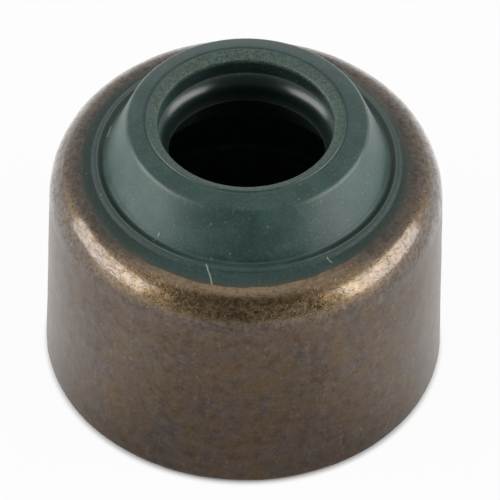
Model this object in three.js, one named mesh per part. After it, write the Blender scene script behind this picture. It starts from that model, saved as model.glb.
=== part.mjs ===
// Valve stem seal for a 7 mm valve stem and a 12 mm valve guide.
// A drawn steel shell stands on its open mouth. A rubber seal is moulded into it and through the
// hole in its flange: ribs inside grip the valve guide, and the cone on top carries the sealing lip.
// Millimetres, +Z up along the axis, origin at the centre of the open mouth.
import * as THREE from "three";

// Facets round each turned piece.
const FACETS = 60;

// What the seal fits.
const STEM_DIAMETER = 7;
const GUIDE_DIAMETER = 12;

// Steel shell.
const SHELL_HEIGHT = 10.5; // mouth to the top of the flange
const SHELL_WALL = 0.9;
const SHELL_DRAFT_DEG = 1; // the wall leans in towards the flange
const SHOULDER_WIDTH = 1.4; // radial reach of the rounded shoulder
const SHOULDER_HEIGHT = 1.9;
const MOUTH_ROUNDING = 0.35; // outer edge of the mouth
const MOUTH_CHAMFER = 0.2; // inner edge of the mouth
const HOLE_EDGE = 0.15; // broken edge of the hole in the flange

// Rubber on top of the flange, from the shoulder inwards.
const SKIN_THICKNESS = 0.08;
const SKIN_REACH = 0.2; // how far the skin runs out over the shoulder
const SKIN_FEATHER_DEG = 3; // its edge thins away over this much of the shoulder
const LAND_WIDTH = 0.9; // shoulder to the foot of the cone
const BEAD_WIDTH = 0.46;
const BEAD_HEIGHT = 0.14; // above the skin
const BEAD_GAP = 0.11; // groove between bead and cone
const BEAD_GROOVE_DEPTH = 0.06;
const NECK_OVERLAP = 0.6; // rubber covers the edge of the flange's hole by this much

// Rubber cone, from the stem outwards.
const MOUTH_CLEARANCE = 0.12; // between the stem and the cone's mouth
const CHAMFER_WIDTH = 0.42;
const CHAMFER_DROP = 0.21;
const NOTCH_WIDTH = 0.1; // fine ring cut beside the rim
const NOTCH_DEPTH = 0.05;
const CROWN_WIDTH = 0.91;
const CROWN_RISE = 0.25;
const CONE_EDGE = 0.1; // rounding at the top of the cone
const CONE_HEIGHT = 2.3; // flange to that edge

// Sealing lip.
const LIP_INTERFERENCE = 0.3; // the lip's radius is this much smaller than the stem's
const LIP_DEPTH = 1.63; // rim to the tip of the lip
const LIP_ROUNDING = 0.16;
const POCKET_UNDERCUT = 0.02; // the wall above the lip widens by this much
const FUNNEL_DEG = 33; // oil side of the lip, from the axis
const RELIEF_DEG = 47; // guide side of the lip, from the axis

// Socket for the valve guide.
const RUBBER_WALL = 1.35; // between the guide and the shell
const SOCKET_SQUEEZE = 0.05; // the socket's radius is this much smaller than the guide's
const STOP_THICKNESS = 0.6; // rubber between the guide's end and the flange
const RIB_COUNT = 3;
const RIB_HEIGHT = 0.25;
const RIB_WIDTH = 1;
const RUBBER_RECESS = 0.35; // the rubber ends this far inside the shell's mouth
const LEAD_IN_HEIGHT = 0.9;
const LEAD_IN_WIDTH = 0.55;

const point = (radius, height) => new THREE.Vector2(radius, height);
const radians = THREE.MathUtils.degToRad;
const degrees = THREE.MathUtils.radToDeg;

// Points along part of an ellipse, both ends included. Angles are in degrees from the horizontal.
function arc(centre, width, rise, from, to, steps) {
  const clockwise = to < from;
  const curve = new THREE.EllipseCurve(
    centre.x,
    centre.y,
    width,
    rise,
    radians(from),
    radians(to),
    clockwise,
  );
  return curve.getPoints(steps);
}

// The shell's wall, which leans in as it rises.
const shellRadius = GUIDE_DIAMETER / 2 + RUBBER_WALL + SHELL_WALL;
function wallRadius(height) {
  return shellRadius - height * Math.tan(radians(SHELL_DRAFT_DEG));
}

// The shoulder turns from the wall into the flange about this centre, outside and in.
const shoulderFoot = SHELL_HEIGHT - SHOULDER_HEIGHT;
const shoulderCentre = point(wallRadius(shoulderFoot) - SHOULDER_WIDTH, shoulderFoot);
const skinAngle = degrees(Math.acos(SKIN_REACH / SHOULDER_WIDTH));
const flangeUnderside = SHELL_HEIGHT - SHELL_WALL;

// Radii of the rubber where it passes the flange.
const neckRadius = shoulderCentre.x - LAND_WIDTH;
const holeRadius = neckRadius - NECK_OVERLAP;

// Heights and radii of the cone and the lip.
const skinTop = SHELL_HEIGHT + SKIN_THICKNESS;
const coneTop = SHELL_HEIGHT + CONE_HEIGHT;
const rimHeight = coneTop + CROWN_RISE;
const stemRadius = STEM_DIAMETER / 2;
const mouthRadius = stemRadius + MOUTH_CLEARANCE;
const rimRadius = mouthRadius + CHAMFER_WIDTH;
const coneTopRadius = rimRadius + CROWN_WIDTH;
const lipRadius = stemRadius - LIP_INTERFERENCE;
const reliefRadius = (lipRadius + holeRadius) / 2;

// The surface where rubber and steel are bonded, from the skin's edge on the shoulder, over the
// flange, round the edge of its hole and down the inside of the wall to the rubber's lower end.
function bondedSurface() {
  const insideWidth = SHOULDER_WIDTH - SHELL_WALL;
  const insideRise = SHOULDER_HEIGHT - SHELL_WALL;
  return [
    ...arc(shoulderCentre, SHOULDER_WIDTH, SHOULDER_HEIGHT, skinAngle, 90, 2),
    point(holeRadius + HOLE_EDGE, SHELL_HEIGHT),
    point(holeRadius, SHELL_HEIGHT - HOLE_EDGE),
    point(holeRadius, flangeUnderside + HOLE_EDGE),
    point(holeRadius + HOLE_EDGE, flangeUnderside),
    ...arc(shoulderCentre, insideWidth, insideRise, 90, 0, 5),
    point(wallRadius(RUBBER_RECESS) - SHELL_WALL, RUBBER_RECESS),
  ];
}

// Half section of the shell: up the outside from the mouth, then back down the bonded inside.
function shellSection() {
  const roundingCentre = point(shellRadius - MOUTH_ROUNDING, MOUTH_ROUNDING);
  const inside = shellRadius - SHELL_WALL;
  return [
    point(inside + MOUTH_CHAMFER, 0),
    ...arc(roundingCentre, MOUTH_ROUNDING, MOUTH_ROUNDING, -90, 0, 4),
    ...arc(shoulderCentre, SHOULDER_WIDTH, SHOULDER_HEIGHT, 0, skinAngle, 10),
    ...bondedSurface().slice(1),
    point(inside, MOUTH_CHAMFER),
  ];
}

// Skin over the flange, the bead and the groove at the foot of the cone.
function collar() {
  const skinWidth = SHOULDER_WIDTH + SKIN_THICKNESS;
  const skinRise = SHOULDER_HEIGHT + SKIN_THICKNESS;
  const beadCentre = point(neckRadius + BEAD_GAP + BEAD_WIDTH / 2, skinTop);
  return [
    ...arc(shoulderCentre, skinWidth, skinRise, skinAngle + SKIN_FEATHER_DEG, 90, 2),
    ...arc(beadCentre, BEAD_WIDTH / 2, BEAD_HEIGHT, 0, 180, 6),
    point(neckRadius + BEAD_GAP / 2, skinTop - BEAD_GROOVE_DEPTH),
    point(neckRadius, skinTop),
  ];
}

// Cone, its crowned top, the notch and the rim's chamfer.
function cone() {
  const leanDeg = degrees(Math.atan2(neckRadius - coneTopRadius, coneTop - skinTop));
  const crownDeg = degrees(Math.atan2(CROWN_RISE, CROWN_WIDTH));
  const edgeCentre = point(coneTopRadius - CONE_EDGE, coneTop - CONE_EDGE);
  return [
    ...arc(edgeCentre, CONE_EDGE, CONE_EDGE, leanDeg, 90 - crownDeg, 3),
    point(rimRadius + NOTCH_WIDTH, rimHeight - NOTCH_DEPTH / 2),
    point(rimRadius + NOTCH_WIDTH / 2, rimHeight - NOTCH_DEPTH * 1.5),
    point(rimRadius, rimHeight),
    point(mouthRadius, rimHeight - CHAMFER_DROP),
  ];
}

// Steep wall below the rim, the funnel, the rounded tip of the lip and the relief under it.
function lip() {
  const tipCentre = point(lipRadius + LIP_ROUNDING, rimHeight - LIP_DEPTH);
  const tip = arc(tipCentre, LIP_ROUNDING, LIP_ROUNDING, 180 - FUNNEL_DEG, 180 + RELIEF_DEG, 5);
  const tipStart = tip[0];
  const tipEnd = tip[tip.length - 1];
  const pocketRadius = mouthRadius + POCKET_UNDERCUT;
  const funnelRise = (pocketRadius - tipStart.x) / Math.tan(radians(FUNNEL_DEG));
  const reliefDrop = (reliefRadius - tipEnd.x) / Math.tan(radians(RELIEF_DEG));
  return [
    point(pocketRadius, tipStart.y + funnelRise),
    ...tip,
    point(reliefRadius, tipEnd.y - reliefDrop),
  ];
}

// Stop face for the guide's end, the ribbed wall and the lead-in at its lower end.
function socket() {
  const wall = GUIDE_DIAMETER / 2 - SOCKET_SQUEEZE;
  const stop = flangeUnderside - STOP_THICKNESS;
  const leadInTop = RUBBER_RECESS + LEAD_IN_HEIGHT;
  const pitch = (stop - leadInTop) / RIB_COUNT;
  const section = [point(reliefRadius, stop), point(wall, stop)];
  for (let rib = 0; rib < RIB_COUNT; rib += 1) {
    const crest = point(wall, stop - pitch * (rib + 0.5));
    section.push(...arc(crest, RIB_HEIGHT, RIB_WIDTH / 2, 90, 270, 6));
  }
  section.push(point(wall, leadInTop));
  section.push(point(wall + LEAD_IN_WIDTH, RUBBER_RECESS));
  return section;
}

// Half section of the rubber: its free surface from the skin's edge, over the cone, through the
// lip and down the socket, then back along the bonded surface.
function rubberSection() {
  const bonded = bondedSurface();
  const skinEdge = bonded.shift();
  return [skinEdge, ...collar(), ...cone(), ...lip(), ...socket(), ...bonded.reverse()];
}

// A solid of revolution about +Z from a half section, closed on itself.
function turned(name, section, material) {
  const closed = [...section, section[0]];
  const geometry = new THREE.LatheGeometry(closed, FACETS);
  geometry.rotateX(Math.PI / 2);
  const mesh = new THREE.Mesh(geometry, material);
  mesh.name = name;
  return mesh;
}

const phosphatedSteel = new THREE.MeshStandardMaterial({
  color: 0x73655a,
  roughness: 0.38,
  metalness: 0.8,
});
const greenRubber = new THREE.MeshStandardMaterial({
  color: 0x47595a,
  roughness: 0.5,
  metalness: 0,
});

const seal = new THREE.Group();
seal.name = "valve_stem_seal";
seal.add(turned("steel_shell", shellSection(), phosphatedSteel));
seal.add(turned("rubber_seal", rubberSection(), greenRubber));

export default seal;
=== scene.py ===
# %% [markdown]
# # A valve stem seal
#
# The real part is two pieces, made as one. A cup of thin steel is drawn in a press, with a hole in
# its flange. It then goes into a mould, where green rubber is bonded to its inside and flows through
# the hole, to form the cone and the sealing lip on top. The seal is pushed over a valve guide, and
# its lip wipes the oil off the valve stem.
#
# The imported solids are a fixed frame. They give every size and place here, in metres, with +Z up
# along the seal's axis and the origin at the middle of the shell's open mouth.

# %% Load the frame
import math

import bpy
from mathutils import Matrix, Vector


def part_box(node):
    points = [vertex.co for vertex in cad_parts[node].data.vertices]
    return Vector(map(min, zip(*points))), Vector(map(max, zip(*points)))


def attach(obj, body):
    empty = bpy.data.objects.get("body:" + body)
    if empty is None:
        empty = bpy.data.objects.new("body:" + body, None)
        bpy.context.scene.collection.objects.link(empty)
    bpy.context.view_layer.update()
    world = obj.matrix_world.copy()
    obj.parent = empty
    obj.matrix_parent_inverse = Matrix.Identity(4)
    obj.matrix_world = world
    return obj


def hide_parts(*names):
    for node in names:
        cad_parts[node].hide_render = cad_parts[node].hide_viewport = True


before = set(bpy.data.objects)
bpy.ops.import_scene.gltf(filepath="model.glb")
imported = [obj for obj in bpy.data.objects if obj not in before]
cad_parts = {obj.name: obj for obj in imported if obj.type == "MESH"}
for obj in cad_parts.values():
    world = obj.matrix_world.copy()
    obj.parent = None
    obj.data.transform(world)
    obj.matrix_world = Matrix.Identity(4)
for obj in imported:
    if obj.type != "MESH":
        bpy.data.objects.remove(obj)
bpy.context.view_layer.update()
MM = 0.001

shell_low, shell_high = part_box("steel_shell")
rubber_low, rubber_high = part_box("rubber_seal")
SHELL_RADIUS = shell_high.x
SHELL_HEIGHT = shell_high.z
RIM_HEIGHT = rubber_high.z
RUBBER_RECESS = rubber_low.z
print(f"shell {SHELL_RADIUS * 2 / MM:.2f} mm across, {SHELL_HEIGHT / MM:.2f} mm high")
print(f"rim of the cone at {RIM_HEIGHT / MM:.2f} mm")

# %% [markdown]
# ## The camera
#
# A product photographer stands well back with a long lens, so that the far side looks as large as
# the near side. The camera here does the same. It looks down at 47 degrees from 335 mm away, and it
# leans by about a degree. It is turned towards a point above the seal's foot, which puts the seal in
# the frame as in the photograph, so the lens needs no shift.

# %% Place the camera
CAMERA_DISTANCE = 334.9 * MM
CAMERA_ELEVATION = math.radians(47.13)
CAMERA_LEAN = math.radians(1.2)
LENS_MM = 576
AIM_RIGHT = 0.29 * MM
AIM_UP = 3.66 * MM


def camera_axes(elevation, lean):
    """Right, up and back of a camera in front of the seal, in the seal's own axes."""
    level_right = Vector((1, 0, 0))
    level_up = Vector((0, math.sin(elevation), math.cos(elevation)))
    right = level_right * math.cos(lean) + level_up * math.sin(lean)
    up = level_up * math.cos(lean) - level_right * math.sin(lean)
    return right, up, right.cross(up)


def turn_towards(place, target, lean):
    """Rotation of a camera or lamp at a place that faces a target and leans by an angle."""
    facing = (target - place).to_track_quat("-Z", "Y").to_matrix().to_4x4()
    return facing @ Matrix.Rotation(lean, 4, "Z")


right, up, back = camera_axes(CAMERA_ELEVATION, CAMERA_LEAN)
camera_place = back * CAMERA_DISTANCE
camera_target = right * AIM_RIGHT + up * AIM_UP
camera_data = bpy.data.cameras.new("camera")
camera_data.lens = LENS_MM
camera_data.sensor_width = 36
camera_data.clip_start = 10 * MM
camera = bpy.data.objects.new("camera", camera_data)
camera.matrix_world = (
    Matrix.Translation(camera_place) @ turn_towards(camera_place, camera_target, CAMERA_LEAN)
)
bpy.context.scene.collection.objects.link(camera)
bpy.context.scene.camera = camera
print("camera at", [round(value / MM, 1) for value in camera_place], "mm")

# %% [markdown]
# ## Half sections
#
# Both pieces are round all the way, so each is drawn as half a section beside the axis and spun into
# a ring, like work on a potter's wheel. A section is a list of corners, each with its radius, its
# height and how far back along both edges its rounding starts. The corners are drawn as a chain of
# extruded vertices, and a vertex bevel rounds the ones that the tool or the mould would round.

# %% Draw, round and spin a section
TURNS = 240
ROUNDING_STEPS = 6
SMOOTH_ANGLE = math.radians(50)


def select_only(obj):
    """Makes one object the only selected one, and active."""
    for other in bpy.context.selected_objects:
        other.select_set(False)
    obj.select_set(True)
    bpy.context.view_layer.objects.active = obj


def draw_section(name, corners):
    """A closed outline in the plane of X and Z from (radius, height, rounding) corners, in mm."""
    places = [Vector((radius, 0, height)) * MM for radius, height, rounding in corners]
    for other in bpy.context.selected_objects:
        other.select_set(False)
    bpy.ops.mesh.primitive_plane_add(size=MM, location=places[0])
    outline = bpy.context.active_object
    outline.name = name
    outline.data.name = name
    bpy.ops.object.transform_apply(location=True)
    bpy.ops.object.mode_set(mode="EDIT")
    bpy.ops.mesh.merge(type="CENTER")
    for before, after in zip(places, places[1:]):
        bpy.ops.mesh.extrude_region_move(TRANSFORM_OT_translate={"value": after - before})
    bpy.ops.object.mode_set(mode="OBJECT")
    outline.data.vertices[0].select = True
    bpy.ops.object.mode_set(mode="EDIT")
    bpy.ops.mesh.edge_face_add()
    bpy.ops.object.mode_set(mode="OBJECT")
    return outline


def round_corners(outline, corners):
    """Bevels each corner that has a rounding, found again by its place."""
    for radius, height, rounding in corners:
        if rounding == 0:
            continue
        place = Vector((radius, 0, height)) * MM
        select_only(outline)
        bpy.ops.object.mode_set(mode="EDIT")
        bpy.ops.mesh.select_all(action="DESELECT")
        bpy.ops.object.mode_set(mode="OBJECT")
        nearest = min(outline.data.vertices, key=lambda vertex: (vertex.co - place).length)
        nearest.select = True
        bpy.ops.object.mode_set(mode="EDIT")
        bpy.ops.mesh.bevel(offset=rounding * MM, segments=ROUNDING_STEPS, affect="VERTICES")
        bpy.ops.object.mode_set(mode="OBJECT")


def spin_section(outline):
    """Turns the outline into a closed ring about Z, with its faces pointing out."""
    select_only(outline)
    bpy.ops.object.mode_set(mode="EDIT")
    bpy.ops.mesh.select_all(action="SELECT")
    bpy.ops.mesh.spin(steps=TURNS, angle=math.tau, center=(0, 0, 0), axis=(0, 0, 1))
    bpy.ops.mesh.select_all(action="SELECT")
    bpy.ops.mesh.remove_doubles(threshold=0.002 * MM)
    bpy.ops.mesh.normals_make_consistent(inside=False)
    bpy.ops.object.mode_set(mode="OBJECT")
    return outline


def make_ring(name, corners):
    """One turned piece from its corners."""
    ring = draw_section(name, corners)
    round_corners(ring, corners)
    spin_section(ring)
    select_only(ring)
    bpy.ops.object.shade_smooth_by_angle(angle=SMOOTH_ANGLE)
    print(name, "has", len(ring.data.vertices), "vertices and", len(ring.data.polygons), "faces")
    return ring


# %% [markdown]
# ## The steel shell
#
# The press leaves a wide round shoulder, a wall that leans in by about a degree and an edge that is
# a little rounded where the cup was trimmed. The shoulder is taller than it is wide, so its points
# come from an ellipse. The rest are corners, and extra points up the wall give the dents of the next
# step something to move.

# %% Spin the shell
SHELL_WALL = 0.9
LEAN = math.tan(math.radians(1))
SHOULDER_WIDTH = 1.4
SHOULDER_HEIGHT = 1.9
HOLE_RADIUS = 5.2
HOLE_ROUNDING = 0.12
WALL_STEPS = 17
OUTER_STEPS = 20
INNER_STEPS = 8

shell_top = SHELL_HEIGHT / MM
mouth = SHELL_RADIUS / MM
shoulder_foot = shell_top - SHOULDER_HEIGHT
shoulder_radius = mouth - shoulder_foot * LEAN - SHOULDER_WIDTH


def shoulder(width, rise, steps):
    """Corners along the shoulder's ellipse, from the wall to the flange, with no further rounding."""
    angles = [math.radians(90 * step / steps) for step in range(steps + 1)]
    return [
        (shoulder_radius + width * math.cos(angle), shoulder_foot + rise * math.sin(angle), 0)
        for angle in angles
    ]


def inner_shoulder():
    return shoulder(SHOULDER_WIDTH - SHELL_WALL, SHOULDER_HEIGHT - SHELL_WALL, INNER_STEPS)


def outer_wall():
    """Points up the leaning wall, between the edge and the foot of the shoulder."""
    low = 0.8
    high = shoulder_foot - 0.4
    heights = [low + (high - low) * step / WALL_STEPS for step in range(WALL_STEPS + 1)]
    return [(mouth - height * LEAN, height, 0) for height in heights]


def shell_corners():
    return [
        (mouth - SHELL_WALL, 0, 0.2),
        (mouth, 0, 0.35),
        *outer_wall(),
        *shoulder(SHOULDER_WIDTH, SHOULDER_HEIGHT, OUTER_STEPS),
        (HOLE_RADIUS, shell_top, HOLE_ROUNDING),
        (HOLE_RADIUS, shell_top - SHELL_WALL, HOLE_ROUNDING),
        *reversed(inner_shoulder()),
    ]


steel_shell = make_ring("drawn_shell", shell_corners())

# %% [markdown]
# A drawn cup is never a perfect shape. The sheet buckles a little as it flows over the die, and the
# light shows it at once. Two displacements by cloud noise press that into the mesh: broad shallow
# dents and a finer unevenness. Both only press into the steel, so the shell never reaches past its
# solid.

# %% Press shallow dents into the shell
BROAD_DENTS = (2.0, 0.035)
FINE_DENTS = (0.6, 0.015)


def press_dents(piece, lump, depth):
    """Pushes a piece's surface in by cloud noise. Lump size and greatest depth are in mm."""
    clouds = bpy.data.textures.new(f"dents_{lump}", "CLOUDS")
    clouds.noise_scale = lump * MM
    select_only(piece)
    bpy.ops.object.modifier_add(type="DISPLACE")
    dents = piece.modifiers[-1]
    dents.texture = clouds
    dents.texture_coords = "LOCAL"
    dents.mid_level = 1
    dents.strength = depth * MM
    bpy.ops.object.modifier_apply(modifier=dents.name)


press_dents(steel_shell, *BROAD_DENTS)
press_dents(steel_shell, *FINE_DENTS)
widest = max(math.hypot(vertex.co.x, vertex.co.y) for vertex in steel_shell.data.vertices)
print(f"widest point of the dented shell {widest * 2 / MM:.2f} mm across")

# %% [markdown]
# ## The rubber
#
# The rubber is one moulding. From the outside in, its section runs over a thin skin that feathers
# out on the steel, a bead and a groove, up the cone, over a slightly crowned top to a fine notch and
# a chamfered rim, down a steep wall to the lip's round back, past the relief under the lip and
# down the ribbed socket that grips the guide. The skin's edge is sunk a hair into the steel. Where a
# surface dips at such a flat angle, a little unevenness moves its edge a long way, which is how the
# real edge gets its wandering line.

# %% Spin the rubber
SKIN_EDGE = 6.86
SKIN_FACE = 6.55
SKIN_FOOT = 6.36
BEAD_RADIUS = 6.14
NECK_RADIUS = 5.8
CONE_TOP_RADIUS = 4.95
CONE_TOP = 12.8
RIM_RADIUS = 4.04
MOUTH_RADIUS = 3.62
LIP_RADIUS = 3.2
LIP_ROUNDING = 0.95
LIP_HEIGHT = 11.25
LIP_ANGLES = range(58, -31, -4)
RELIEF_RADIUS = 4.2
SOCKET_RADIUS = 5.95
STOP_HEIGHT = 9.0
RIB_CRESTS = (7.71, 5.13, 2.54)
RIB_HEIGHT = 0.25
RIB_HALF = 0.5

SKIN_SUNK = 0.05
SKIN_LIFT = 0.055

rim = RIM_HEIGHT / MM
recess = RUBBER_RECESS / MM


def shoulder_height(radius):
    """Height of the steel under the skin at a radius."""
    across = (radius - shoulder_radius) / SHOULDER_WIDTH
    return shoulder_foot + SHOULDER_HEIGHT * math.sqrt(1 - across * across)


def skin_corners():
    """The skin from its sunk edge, the bead and the groove beside the cone."""
    return [
        (SKIN_EDGE, shoulder_height(SKIN_EDGE) - SKIN_SUNK, 0),
        (SKIN_FACE, shoulder_height(SKIN_FACE) + SKIN_LIFT, 0),
        (SKIN_FOOT, shell_top + 0.08, 0.04),
        (BEAD_RADIUS + 0.14, shell_top + 0.21, 0.09),
        (BEAD_RADIUS - 0.02, shell_top + 0.22, 0.07),
        (NECK_RADIUS + 0.08, shell_top + 0.13, 0.05),
        (NECK_RADIUS - 0.02, shell_top + 0.17, 0.03),
    ]


def cone_corners():
    """The cone's crown, the notch and the chamfered rim."""
    return [
        (CONE_TOP_RADIUS, CONE_TOP, 0.14),
        (RIM_RADIUS + 0.16, rim - 0.03, 0.04),
        (RIM_RADIUS + 0.07, rim - 0.08, 0.04),
        (RIM_RADIUS, rim, 0.04),
        (MOUTH_RADIUS, rim - 0.21, 0.05),
    ]


def lip_corners():
    """The lip's rounded back, from the foot of the mouth's wall, then the relief under it."""
    lip_back = []
    for angle in map(math.radians, LIP_ANGLES):
        radius = LIP_RADIUS + LIP_ROUNDING * (1 - math.cos(angle))
        lip_back.append((radius, LIP_HEIGHT + LIP_ROUNDING * math.sin(angle), 0))
    return [
        *lip_back,
        (RELIEF_RADIUS, 10.5, 0.2),
        (RELIEF_RADIUS, STOP_HEIGHT, 0.1),
    ]


def socket_corners():
    """The stop for the guide, the three ribs and the lead-in at the open end."""
    corners = [(SOCKET_RADIUS, STOP_HEIGHT, 0.15)]
    for crest in RIB_CRESTS:
        corners += [
            (SOCKET_RADIUS, crest + RIB_HALF, 0.1),
            (SOCKET_RADIUS - RIB_HEIGHT, crest + RIB_HALF / 3, 0.14),
            (SOCKET_RADIUS - RIB_HEIGHT, crest - RIB_HALF / 3, 0.14),
            (SOCKET_RADIUS, crest - RIB_HALF, 0.1),
        ]
    inside = mouth - recess * LEAN - SHELL_WALL
    corners += [
        (SOCKET_RADIUS, recess + 0.9, 0.2),
        (SOCKET_RADIUS + 0.55, recess, 0.1),
        (inside, recess, 0),
    ]
    return corners


def bonded_corners():
    """The surface against the steel, from the wall back up to the flange."""
    return [
        *inner_shoulder(),
        (HOLE_RADIUS, shell_top - SHELL_WALL, HOLE_ROUNDING),
        (HOLE_RADIUS, shell_top, HOLE_ROUNDING),
        (shoulder_radius, shell_top - 0.02, 0),
    ]


rubber_corners = [
    *skin_corners(),
    *cone_corners(),
    *lip_corners(),
    *socket_corners(),
    *bonded_corners(),
]
rubber_seal = make_ring("moulded_rubber", rubber_corners)

# %% [markdown]
# The mould's two halves never line up quite. The skin runs out furthest at the front, a little to the
# left, and least behind, and its edge wanders. So the two outer rings of the skin are moved out and in
# by an amount that changes round the seal, and laid back on the steel at their new radius.

# %% Let the skin's edge wander
SKIN_FORWARD = 0.17
SKIN_LEFT = 0.08
WANDER = ((0.035, 3, 0.8), (0.02, 5, 2.1), (0.008, 11, 4.0), (0.004, 23, 1.3))
ON_RING = 0.01


def skin_shift(angle):
    """How far out the skin's edge lies at an angle, beyond its usual radius, in mm."""
    waves = sum(size * math.sin(count * angle + start) for size, count, start in WANDER)
    return -SKIN_FORWARD * math.sin(angle) - SKIN_LEFT * math.cos(angle) + waves


def wander(vertices, usual_radius, lift):
    """Moves one ring of the skin, which lies a lift above the steel, by the shift at each angle."""
    moved = 0
    for vertex in vertices:
        radius = math.hypot(vertex.co.x, vertex.co.y) / MM
        above = vertex.co.z / MM - shoulder_height(usual_radius)
        if abs(radius - usual_radius) > ON_RING or abs(above - lift) > ON_RING:
            continue
        angle = math.atan2(vertex.co.y, vertex.co.x)
        new_radius = usual_radius + skin_shift(angle)
        height = shoulder_height(new_radius) + lift
        place = (new_radius * math.cos(angle), new_radius * math.sin(angle), height)
        vertex.co = Vector(place) * MM
        moved += 1
    print(moved, "vertices moved on the ring of radius", usual_radius)


wander(rubber_seal.data.vertices, SKIN_EDGE, -SKIN_SUNK)
wander(rubber_seal.data.vertices, SKIN_FACE, SKIN_LIFT)

# %% [markdown]
# The rim was trimmed in a jig that held the seal a little off centre, so the notch and the chamfered
# rim lie 0.07 mm to the left. Their vertices are slid there.

# %% Slide the trimmed rim
RIM_SHIFT = -0.07


def slide_rim(vertices):
    """Slides the notch, the rim and the top of the mouth's wall sideways."""
    moved = 0
    for vertex in vertices:
        radius = math.hypot(vertex.co.x, vertex.co.y) / MM
        if radius < RIM_RADIUS + 0.2 and vertex.co.z / MM > rim - 0.4:
            vertex.co.x += RIM_SHIFT * MM
            moved += 1
    print(moved, "vertices of the rim moved by", RIM_SHIFT, "mm")


slide_rim(rubber_seal.data.vertices)

# %% [markdown]
# ## Shader maths as expressions
#
# A procedural finish is arithmetic on positions and noise. One small class wraps a socket, so that
# adding or multiplying two of them adds the Math node that does it. Every other node comes from one
# method of the class that stands for a node tree. A finish keeps its colour so far, and each tone is
# painted over it by some amount, the way a real surface gathers coats, stains and dust.

# %% Wrap sockets and materials


class Value:
    """A number, colour or shader that a node gives for each point of a surface."""

    def __init__(self, tree, socket):
        self.tree = tree
        self.socket = socket

    def maths(self, operation, *others, **settings):
        inputs = dict(enumerate((self, *others)))
        settings["operation"] = operation
        return self.tree.node("ShaderNodeMath", settings, inputs)

    def __add__(self, other):
        return self.maths("ADD", other)

    def __mul__(self, other):
        return self.maths("MULTIPLY", other)

    def __sub__(self, other):
        return self.maths("SUBTRACT", other)

    def __rsub__(self, other):
        return self.tree.node("ShaderNodeMath", {"operation": "SUBTRACT"}, {0: other, 1: self})

    __radd__ = __add__
    __rmul__ = __mul__

    def larger(self, other):
        return self.maths("MAXIMUM", other)

    def clamp(self):
        return self.maths("ADD", 0.0, use_clamp=True)

    def between(self, low, high):
        """0 below low, 1 above high, smooth between; high may be the smaller one."""
        ends = {"Value": self, "From Min": low, "From Max": high}
        return self.tree.node("ShaderNodeMapRange", {"interpolation_type": "SMOOTHSTEP"}, ends)

    def band(self, low, high, soft):
        """1 from low to high and 0 outside, with soft edges."""
        return self.between(low - soft, low + soft) * self.between(high + soft, high - soft)


class Tree:
    """The nodes of a material or of the world."""

    def __init__(self, owner):
        owner.use_nodes = True
        self.nodes = owner.node_tree.nodes
        self.links = owner.node_tree.links

    def node(self, kind, settings, inputs, output=0):
        """Adds a node, sets it up, fills or links its sockets and returns one output."""
        node = self.nodes.new(kind)
        for setting, value in settings.items():
            setattr(node, setting, value)
        for key, value in inputs.items():
            if isinstance(value, Value):
                self.links.new(value.socket, node.inputs[key])
            else:
                node.inputs[key].default_value = value
        return Value(self, node.outputs[output])

    def mix(self, factor, first, second):
        """Blends two colours."""
        inputs = {"Factor": factor, 6: first, 7: second}
        return self.node("ShaderNodeMix", {"data_type": "RGBA"}, inputs, 2)

    def ray(self, kind):
        """1 for one kind of ray, such as Camera, and 0 for the rest."""
        return self.node("ShaderNodeLightPath", {}, {}, f"Is {kind} Ray")

    def mirrored(self):
        """1 for rays off a glossy or through a clear surface."""
        return self.ray("Glossy").larger(self.ray("Transmission"))

    def show(self, output, shader):
        self.links.new(shader.socket, self.nodes[output].inputs["Surface"])


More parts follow.
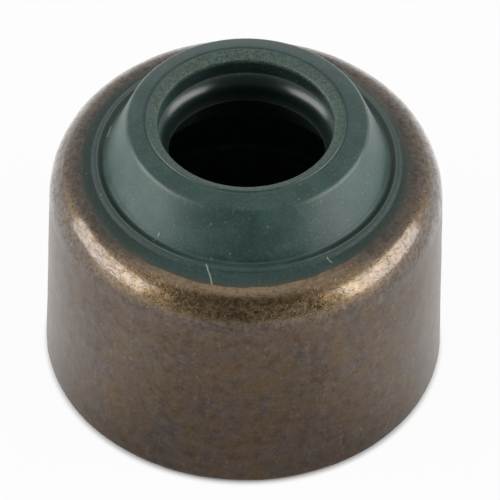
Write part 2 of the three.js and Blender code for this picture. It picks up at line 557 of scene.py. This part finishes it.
class Finish(Tree):
    """A material that starts from a Principled shader with some constants."""

    def __init__(self, name, colour, **constants):
        self.material = bpy.data.materials.new(name)
        super().__init__(self.material)
        self.colour = colour
        self.shader = self.nodes["Principled BSDF"]
        for socket, constant in constants.items():
            self.shader.inputs[socket.replace("_", " ")].default_value = constant

    def feed(self, socket, value):
        self.links.new(value.socket, self.shader.inputs[socket])

    def paint(self, amount, tone):
        """Lays a tone over the colour so far. An amount of 1 covers it."""
        self.colour = self.mix(amount, self.colour, tone)

    def place(self, x=0, y=0, z=0, scale=(1, 1, 1)):
        """Positions in millimetres from a point, stretched by a scale for each axis."""
        position = self.node("ShaderNodeTexCoord", {}, {}, "Object")
        inputs = {
            "Vector": position,
            "Location": (-x, -y, -z),
            "Scale": tuple(value / MM for value in scale),
        }
        return self.node("ShaderNodeMapping", {}, inputs)

    def length(self, vector):
        return self.node("ShaderNodeVectorMath", {"operation": "LENGTH"}, {0: vector}, "Value")

    def axis(self, name):
        """One of X, Y and Z in millimetres."""
        return self.node("ShaderNodeSeparateXYZ", {}, {0: self.place()}, name)

    def radius(self, x=0, y=0):
        """Distance in millimetres from an upright axis through x and y."""
        return self.length(self.place(x, y, scale=(1, 1, 0)))

    def noise(self, size, detail=4.0, roughness=0.5, distortion=0.0, scale=(1, 1, 1)):
        """Cloudy noise whose lumps are about size millimetres across."""
        inputs = {
            "Vector": self.place(scale=scale),
            "Scale": 1 / size,
            "Detail": detail,
            "Roughness": roughness,
            "Distortion": distortion,
        }
        return self.node("ShaderNodeTexNoise", {}, inputs)

    def cells(self, size):
        """Distance to the middle of the nearest of many cells, in shares of their size."""
        inputs = {"Vector": self.place(), "Scale": 1 / size}
        return self.node("ShaderNodeTexVoronoi", {}, inputs)

    def fibre(self, start, end, width, flat=(1, 1, 0.3)):
        """1 on a straight hair between two points in mm. Flat says how much each axis counts."""
        flat = Vector(flat)
        run = (Vector(end) - Vector(start)) * flat
        offset = self.place(*(Vector(start) * flat), scale=flat)
        inputs = {0: offset, 1: tuple(run / run.length_squared)}
        along = self.node("ShaderNodeVectorMath", {"operation": "DOT_PRODUCT"}, inputs, "Value")
        inputs = {0: tuple(run), "Scale": along.clamp()}
        nearest = self.node("ShaderNodeVectorMath", {"operation": "SCALE"}, inputs)
        inputs = {0: offset, 1: nearest}
        across = self.node("ShaderNodeVectorMath", {"operation": "SUBTRACT"}, inputs)
        return self.length(across).between(width * 0.7, width * 0.3)

    def bump(self, height, strength, depth):
        """Relief of a depth in millimetres."""
        inputs = {"Strength": strength, "Distance": depth * MM, "Height": height}
        return self.node("ShaderNodeBump", {}, inputs)


def grey(level):
    return (level, level, level, 1)


# %% [markdown]
# ## The steel's finish
#
# The drawn steel carries a thin brown coat that keeps the rubber bonded. It is satin, with patches of
# brown, dull mauve and gold, and marks that run up the wall where it was drawn. Noises of several
# sizes stand for the unevenness of the coat, and each tone is painted on where one of them says.

# %% Mix the brown coat
BROWN = (0.098, 0.066, 0.042, 1)
MAUVE = (0.084, 0.067, 0.056, 1)
GOLD = (0.105, 0.066, 0.029, 1)
# bright gold for the front of the shoulder, partly painted light
GOLD_AND_PAINTED_LIGHT = (0.22, 0.146, 0.07, 1)
RUST = (0.060, 0.040, 0.026, 1)
DARK_BROWN = (0.028, 0.019, 0.011, 1)
WORN = (0.18, 0.15, 0.125, 1)
BONDING = (0.036, 0.032, 0.025, 1)

steel = Finish("phosphated_steel", BROWN, Metallic=0.95, Coat_Roughness=0.13)
steel_height = steel.axis("Z")
patches = steel.noise(1.0, detail=6, roughness=0.65, distortion=0.5)
blotches = steel.noise(2.0, detail=5, roughness=0.62, distortion=0.8)
mottle = steel.noise(0.45, detail=4, roughness=0.6)
hammered = steel.noise(0.26, detail=4, roughness=0.6)
flecks = steel.noise(0.17, detail=3, roughness=0.6)
grain = steel.noise(0.07, detail=2, roughness=0.7)
drawn_marks = steel.noise(0.3, detail=3, scale=(1, 1, 0.12))

steel.paint(patches.between(0.42, 0.6), MAUVE)
steel.paint(mottle.between(0.5, 0.34) * 0.35, DARK_BROWN)
steel.paint(mottle.between(0.52, 0.68) * 0.2, WORN)
steel.paint(blotches.between(0.48, 0.66) * 0.45, GOLD)
print("brown coat mixed with", len(steel.nodes), "nodes")

# %% [markdown]
# The sheet was stretched most on the shoulder, so its grain opened there and the coat took on rust.
# The front of the shoulder is painted a bright gold, partly the coat's tone and partly painted light
# that stands in for what the front of the shoulder reflects. A ring of gold runs round near its top,
# partly the coat's tone and partly a painted reflection along the upper edge of the softboxes' bright
# patches, and dark stains are scattered over it.

# %% Tint the shoulder
shoulder_band = steel_height.band(8.9, 10.35, 0.3)
lit_front_gold = steel_height.between(9.0, 9.6) * steel.axis("Y").between(-4, -7)
coated = patches.between(0.35, 0.6)
gold_and_reflection_line = steel_height.band(10.02, 10.25, 0.08) * (0.35 + 0.5 * coated)
stains = steel.noise(1.2, detail=4, distortion=0.6).between(0.53, 0.62) * shoulder_band

# painted light: a bright gold on the front of the shoulder, over the coat's own gold
steel.paint(lit_front_gold * 0.85, GOLD_AND_PAINTED_LIGHT)
steel.paint(shoulder_band * (1 - 0.7 * lit_front_gold) * 0.75, RUST)
# partly painted reflection: a gold ring at the upper edge of the softboxes' bright patches
steel.paint(gold_and_reflection_line, GOLD)
steel.paint(stains * 0.3, DARK_BROWN)
print("with the shoulder,", len(steel.nodes), "nodes")

# %% [markdown]
# Handling leaves its marks: dark specks in the grain, worn flecks, fine cracks in the coat of the
# shoulder, a cluster of dark spots on the wall, one scratch and a few bright nicks.

# %% Wear and mark the coat
SCRATCH_START = (-2.43, -7.83, 6.74)
SCRATCH_END = (-1.67, -8.03, 7.70)
SCRATCH_WIDTH = 0.06
SPOTTED = (3.43, -7.45, 6.3)

speckle = (grain * 0.6 + flecks * 0.4).between(0.52, 0.38)
worn = (flecks * 0.6 + drawn_marks * 0.4).between(0.56, 0.68)
cracks = steel.noise(0.5, detail=3, scale=(1, 1, 2.2)).band(0.485, 0.515, 0.012) * shoulder_band
spots = steel.length(steel.place(*SPOTTED)).between(0.3, 0.12) * grain.between(0.52, 0.44)
scratch = steel.fibre(SCRATCH_START, SCRATCH_END, SCRATCH_WIDTH, flat=(1, 0.3, 1))
nicks = steel.cells(0.8).between(0.07, 0.04) * flecks.between(0.45, 0.6)

steel.paint(speckle * 0.42, DARK_BROWN)
steel.paint(worn * 0.4, WORN)
steel.paint(cracks * 0.6, DARK_BROWN)
steel.paint(spots * 0.8, DARK_BROWN)
steel.paint(scratch * flecks.between(0.35, 0.6) * 0.6, WORN)
steel.paint(nicks * 0.7, WORN)
print("with its wear,", len(steel.nodes), "nodes")

# %% [markdown]
# At the sides and the back, the bonding agent and a breath of rubber stain the steel dark beside the
# skin. At the front the steel is clean up to the skin, and a thin pale line, in the worn tone, is
# painted along the skin's edge there.

# %% Stain the steel beside the skin
beside_skin = steel.radius(-SKIN_LEFT, -SKIN_FORWARD)
front = steel.axis("Y").between(-4.5, -6.5)
bond = beside_skin.between(7.3, 6.85) * steel_height.between(9.9, 10.25) * (1 - front)
edge_line = beside_skin.band(6.93, 6.99, 0.03) * front * flecks.between(0.35, 0.55)

steel.paint(bond * (0.3 + 0.55 * coated), BONDING)
# a thin pale line along the skin's edge, at the front only
steel.paint(edge_line * 0.6, WORN)
steel.feed("Base Color", steel.colour)
print("with the stain,", len(steel.nodes), "nodes")

# %% [markdown]
# The shoulder is glossy under its coat, with dull flecks, so the softboxes show there as broken bright
# patches. The wall is duller and has hardly any coat. The relief is strongest on the shoulder.

# %% Set the steel's gloss and relief
wall_side = steel_height.between(9.3, 8.4)
dull = shoulder_band * (flecks * 0.5 + patches * 0.5).between(0.38, 0.6)
rubbed = (hammered * 0.5 + flecks * 0.5).between(0.38, 0.6)
steel.feed("Roughness", 0.15 + 0.12 * wall_side + 0.08 * patches + 0.1 * grain + 0.22 * dull)
steel.feed("Coat Weight", 0.1 + (1 - wall_side) * (0.25 + 0.6 * rubbed))

relief = hammered * shoulder_band * 0.8 - cracks * 0.4
relief = relief + grain * 0.12 + drawn_marks * 0.15 + flecks * 0.15
steel.feed("Normal", steel.bump(relief, strength=0.6, depth=0.03))
print("steel finished with", len(steel.nodes), "nodes")

# %% [markdown]
# ## The rubber's finish
#
# Moulded rubber of this kind is a dark grey-green with a dry, powdery sheen. It is a little paler in
# soft clouds, and darker between the grains of powder.

# %% Colour the rubber
GREEN = (0.013, 0.042, 0.035, 1)
GREEN_PALE = (0.025, 0.063, 0.054, 1)
GREEN_DARK = (0.004, 0.018, 0.013, 1)
# nearly black, for the painted shade deep in the mouth
LIP_SHADE = (0.003, 0.011, 0.009, 1)
# pale tone of the trimmed rim, also used for painted highlights on edges
TRIMMED_AND_HIGHLIGHT = (0.088, 0.118, 0.093, 1)
FEATHERED = (0.055, 0.045, 0.030, 1)
# pale tone of dust and lint, also used for the painted highlight on the bead
DUST_AND_HIGHLIGHT = (0.42, 0.46, 0.43, 1)

rubber = Finish(
    "green_rubber",
    GREEN,
    Specular_IOR_Level=0.45,
    Sheen_Weight=0.12,
    Sheen_Roughness=0.4,
)
rubber_radius = rubber.radius()
rubber_height = rubber.axis("Z")
cloud = rubber.noise(1.0, detail=4, roughness=0.6)
powder = rubber.noise(0.09, detail=3, roughness=0.7)

rubber.paint(cloud.between(0.35, 0.65), GREEN_PALE)
rubber.paint(powder.between(0.5, 0.32) * 0.5, GREEN_DARK)
print("green mixed with", len(rubber.nodes), "nodes")

# %% [markdown]
# The lip's back lies deep in the mouth and is painted nearly black as painted shade, and so is the far
# side of the mouth's wall above it. The lip's back has no powder on it.

# %% Paint shade into the mouth
shaded_lip = rubber_radius.between(3.66, 3.42) * rubber_height.between(12.4, 12.1)
far_side = rubber.axis("Y").between(0.5, 2.5)
shaded_mouth_wall = rubber_radius.between(3.8, 3.64) * rubber_height.between(12.84, 12.7) * far_side

# painted shade: the lip's back and the far side of the mouth's wall nearly black
rubber.paint(shaded_lip * 0.9, LIP_SHADE)
rubber.paint(shaded_mouth_wall * 0.75, LIP_SHADE)
print("with the dark mouth,", len(rubber.nodes), "nodes")

# %% [markdown]
# The skin on the steel is thin and dark, and turns brown where it feathers out. Its dark green is
# partly its own tone and partly painted shade from the cone, strongest at the sides and the back, so
# at the front it keeps more of the green.

# %% Feather the skin
top_side = rubber_height.between(10.3, 10.4)
skin = rubber_radius.between(6.2, 6.32) * top_side
skin_front = rubber.axis("Y").between(-4.5, -6.0)
from_skin_middle = rubber.radius(-SKIN_LEFT, -SKIN_FORWARD)
feather = from_skin_middle.between(6.5, 6.86) * top_side
ragged = from_skin_middle + 0.25 * (powder + 1.5 * cloud - 1.25)

# partly painted shade: the skin darker at the sides and the back than at the front
rubber.paint(skin * (0.9 - 0.55 * skin_front), GREEN_DARK)
rubber.paint(feather * (0.4 + 0.6 * cloud.between(0.4, 0.6)), BONDING)
rubber.paint(ragged.between(6.55, 6.9) * top_side * 0.8, FEATHERED)
print("with the skin,", len(rubber.nodes), "nodes")

# %% [markdown]
# The rim was trimmed after moulding, so it is pale and grainy. The edges of the cone and the bead get
# thin pale lines of painted highlight, strongest at the sides, a thin pale grainy line is painted
# round the mouth's edge, and the foot of the bead gets a dark line of painted shade.

# %% Draw the rim and the edges
sides = rubber.axis("X")
sides = (sides * sides).between(2.0, 9.0)
rim_radius = rubber.radius(RIM_SHIFT, 0)
rim_band = rim_radius.band(3.6, 4.03, 0.02) * rubber_height.between(12.6, 12.75)
cone_edge_highlight = rubber_radius.band(4.89, 4.95, 0.03) * rubber_height.between(12.6, 12.72)
bead_highlight = rubber_radius.band(6.1, 6.17, 0.03) * rubber_height.between(10.55, 10.62)
bead_foot_shade = rubber_radius.band(6.27, 6.35, 0.05) * top_side
mouth_line = rim_radius.band(3.6, 3.65, 0.02) * rubber_height.between(12.7, 12.8)

rubber.paint(rim_band * (0.1 + 0.85 * powder.between(0.42, 0.6)), TRIMMED_AND_HIGHLIGHT)
# painted highlight on the cone's edge, at the sides
rubber.paint(cone_edge_highlight * cloud.between(0.35, 0.55) * sides * 0.4, TRIMMED_AND_HIGHLIGHT)
# painted highlight on the bead's crest, strongest at the sides
rubber.paint(bead_highlight * (0.08 + 0.27 * sides), DUST_AND_HIGHLIGHT)
# painted shade at the foot of the bead
rubber.paint(bead_foot_shade * 0.6, GREEN_DARK)
rubber.paint(mouth_line * powder.between(0.4, 0.6) * 0.35, TRIMMED_AND_HIGHLIGHT)
print("rings drawn with", len(rubber.nodes), "nodes")

# %% [markdown]
# Dust sits on it as pale specks and a fine film, but not on the lip, with a few hairs of lint. The
# longest is bent and lies over the bead at the front, so it is drawn as two straight pieces.

# %% Lay the dust and the lint
LINT_WIDTH = 0.06
LINT = (
    ((-1.56, -5.95, 10.70), (-1.40, -6.38, 10.59)),
    ((-1.40, -6.38, 10.59), (-1.31, -6.80, 10.50)),
    ((-3.50, -4.50, 10.92), (-3.70, -4.62, 10.66)),
    ((3.34, -5.38, 10.68), (3.51, -5.55, 10.56)),
    ((-5.60, 1.75, 10.60), (-5.75, 1.20, 10.66)),
)
dusty = 1 - shaded_lip
specks = rubber.cells(0.33).between(0.12, 0.06) * rubber.noise(0.6, detail=1).between(0.52, 0.6)
fine_dust = rubber.noise(0.11, detail=2).between(0.52, 0.74)

rubber.paint(specks * 0.4 * dusty, DUST_AND_HIGHLIGHT)
rubber.paint(fine_dust * 0.07 * dusty, DUST_AND_HIGHLIGHT)
for start, end in LINT:
    rubber.paint(rubber.fibre(start, end, LINT_WIDTH) * 0.55, DUST_AND_HIGHLIGHT)
rubber.feed("Base Color", rubber.colour)
print(len(LINT), "straight pieces of lint")

# %% [markdown]
# The rubber is satin. The trimmed rim, the skin and the inside below the lip are duller, and the lip's
# back is glossier, so the softboxes show there. The relief is strongest on the grainy rim.

# %% Set the rubber's gloss and relief
lip_gloss = rubber_radius.between(3.75, 3.6) * rubber_height.between(11.2, 11.5)
inside = rubber_radius.between(4.6, 4.3) * rubber_height.between(11.3, 11.0)
matt = rim_band + skin + inside
rubber.feed("Roughness", 0.38 + 0.1 * cloud + 0.25 * matt - 0.17 * lip_gloss)
rubber_relief = powder * 0.4 * dusty + cloud * 0.4 + rim_band * powder * 2.6
rubber.feed("Normal", rubber.bump(rubber_relief, strength=0.35, depth=0.02))
print("rubber finished with", len(rubber.nodes), "nodes")

# %% [markdown]
# Each piece takes its finish and the place of its solid in the frame. The seal is rigid, so both ride
# on its root.

# %% Give the pieces their finishes
for piece, finish, node in (
    (steel_shell, steel, "steel_shell"),
    (rubber_seal, rubber, "rubber_seal"),
):
    piece.data.materials.clear()
    piece.data.materials.append(finish.material)
    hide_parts(node)
    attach(piece, "root")
for piece in (steel_shell, rubber_seal):
    print(piece.name, "wears", piece.data.materials[0].name)

# %% [markdown]
# ## The paper
#
# The seal stands on white paper. What the camera sees of the paper glows, so that it comes out nearly
# white and still takes a faint shadow. What the seal mirrors is another matter: its glow is painted
# light and shade, brightest at both sides and dimmer close to the seal in front and behind, as a
# painted shadow of the seal, and it fades away within a hand's width in front, where the dark room
# begins.
# Under the seal nothing glows, so the bore stays black.

# %% Lay the paper
FLOOR_SIZE = 4
bpy.ops.mesh.primitive_plane_add(size=FLOOR_SIZE, location=(0, 0, 0))
floor = bpy.context.active_object
floor.name = "floor"

SEEN_GLOW = 0.95
MIRRORED_GLOW = 0.78
PAPER_END = -110
PAPER_FADE = 80
ROOM_FLOOR = grey(0.15)
PAPER_WHITE = grey(0.85)
PAPER_BOUNCE = grey(0.5)

paper = Finish("white_paper", ROOM_FLOOR, Roughness=0.9)
from_axis = paper.radius()
beside = paper.axis("X")
beside = (beside * beside).between(4, 110)
on_paper = paper.axis("Y").between(PAPER_END, PAPER_END + PAPER_FADE)
around_seal = from_axis.between(8.0, 8.4)
# painted shadow: the mirrored glow is dimmer close to the seal in front and behind, brightest at the
# sides
outside_painted_shadow = 0.1 + 0.9 * beside.larger(0.65 * from_axis.between(11, 17))
mirrored_glow = paper.mirrored() * on_paper * around_seal * outside_painted_shadow
seen_glow = paper.ray("Camera") * around_seal * SEEN_GLOW

paper.paint(paper.mirrored() * on_paper, PAPER_WHITE)
paper.paint(paper.ray("Diffuse"), PAPER_BOUNCE)
paper.paint(paper.ray("Camera"), PAPER_WHITE)
paper.feed("Base Color", paper.colour)
print("paper fades out from", -PAPER_END - PAPER_FADE, "to", -PAPER_END, "mm in front of the axis")

# %% [markdown]
# To mirrored rays the glow is added to the light that falls on the paper. To the camera the glow takes
# the paper's place almost wholly, and only a trace of the lit paper shows through as a shadow.

# %% Make the paper glow
lit_paper = Value(paper, paper.shader.outputs[0])
glow = paper.node("ShaderNodeEmission", {}, {"Strength": MIRRORED_GLOW})
glowing_paper = paper.node("ShaderNodeAddShader", {}, {0: lit_paper, 1: glow})
inputs = {0: mirrored_glow, 1: lit_paper, 2: glowing_paper}
mirrored_paper = paper.node("ShaderNodeMixShader", {}, inputs)
white_glow = paper.node("ShaderNodeEmission", {}, {"Strength": 1})
inputs = {0: seen_glow, 1: mirrored_paper, 2: white_glow}
paper.show("Material Output", paper.node("ShaderNodeMixShader", {}, inputs))
floor.data.materials.append(paper.material)
print("paper glows with", len(paper.nodes), "nodes")

# %% [markdown]
# ## The softboxes and the room
#
# Two large softboxes stand one at each side, a little in front of the seal. They draw the long bright
# patches on the shoulder and the soft ones inside the lip.

# %% Stand the softboxes
SOFTBOX_DISTANCE = 0.55
SOFTBOX_WIDTH = 0.54
SOFTBOX_HEIGHT = 0.36
SOFTBOX_POWER = 4.0
SOFTBOX_ELEVATION = math.radians(17)
SOFTBOX_AHEAD = math.radians(9.5)
SOFTBOX_TARGET = Vector((0, 0, 0.01))


def add_softbox(name, side):
    """A rectangular softbox that faces the seal, from the left with side -1 or the right with 1."""
    lamp = bpy.data.lights.new(name, "AREA")
    lamp.shape = "RECTANGLE"
    lamp.size = SOFTBOX_WIDTH
    lamp.size_y = SOFTBOX_HEIGHT
    lamp.energy = SOFTBOX_POWER
    softbox = bpy.data.objects.new(name, lamp)
    level = SOFTBOX_DISTANCE * math.cos(SOFTBOX_ELEVATION)
    sideways = side * level * math.cos(SOFTBOX_AHEAD)
    forward = level * math.sin(SOFTBOX_AHEAD)
    place = Vector((sideways, -forward, SOFTBOX_DISTANCE * math.sin(SOFTBOX_ELEVATION)))
    softbox.matrix_world = Matrix.Translation(place) @ turn_towards(place, SOFTBOX_TARGET, 0)
    bpy.context.scene.collection.objects.link(softbox)


add_softbox("left_softbox", -1)
add_softbox("right_softbox", 1)
print("studio lit by", len(bpy.data.lights), "softboxes")

# %% [markdown]
# The room lights the seal only faintly, but what the seal mirrors of it is white, except in front. The
# dark part there is mirrored by the front of the cone and the far side of the lip.

# %% Surround the seal with the room
AMBIENT = 0.1
DARKNESS = 0.9

world = bpy.data.worlds.new("studio")
bpy.context.scene.world = world
air = Tree(world)
ambient = air.node("ShaderNodeBackground", {}, {"Color": grey(1), "Strength": AMBIENT})
white = air.node("ShaderNodeBackground", {}, {"Color": grey(1), "Strength": 1})
direction = air.node("ShaderNodeTexCoord", {}, {}, "Generated")
upward = air.node("ShaderNodeSeparateXYZ", {}, {0: direction}, "Z")
backward = air.node("ShaderNodeSeparateXYZ", {}, {0: direction}, "Y")
dark_room = backward.between(-0.2, -0.6) * upward.between(0.97, 0.85)
whiteness = air.ray("Camera").larger(air.mirrored() * (1 - DARKNESS * dark_room))
air.show("World Output", air.node("ShaderNodeMixShader", {}, {0: whiteness, 1: ambient, 2: white}))
bpy.context.scene.view_settings.view_transform = "Standard"
print("ambient light of", AMBIENT, "around the seal")
